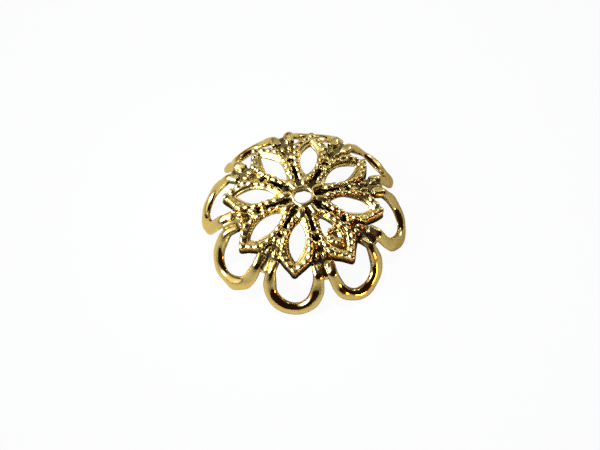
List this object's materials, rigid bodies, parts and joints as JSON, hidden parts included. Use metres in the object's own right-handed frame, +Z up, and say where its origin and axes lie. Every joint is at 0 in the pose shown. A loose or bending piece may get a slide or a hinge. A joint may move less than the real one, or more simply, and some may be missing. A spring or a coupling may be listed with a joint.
{
  "type": "bead cap",
  "caption": "Round domed filigree bead cap: a pierced flower of pointed petals with beaded edges and a rim of round scallop loops, with a thread hole in the middle.",
  "frame": {"origin": "centre of the cap at the level of the flats that its loops rest on", "axes": "+Z up along the thread hole, out of the dome; the first petal points along -Y"},
  "size_m": [0.012, 0.012, 0.0037],
  "materials": {
    "gold_plate": "bright gold plating on a cast metal body, polished on the loops and slightly soft in the relief"
  },
  "bodies": {
    "root": {"bead_cap": "gold_plate"}
  },
  "joints": []
}
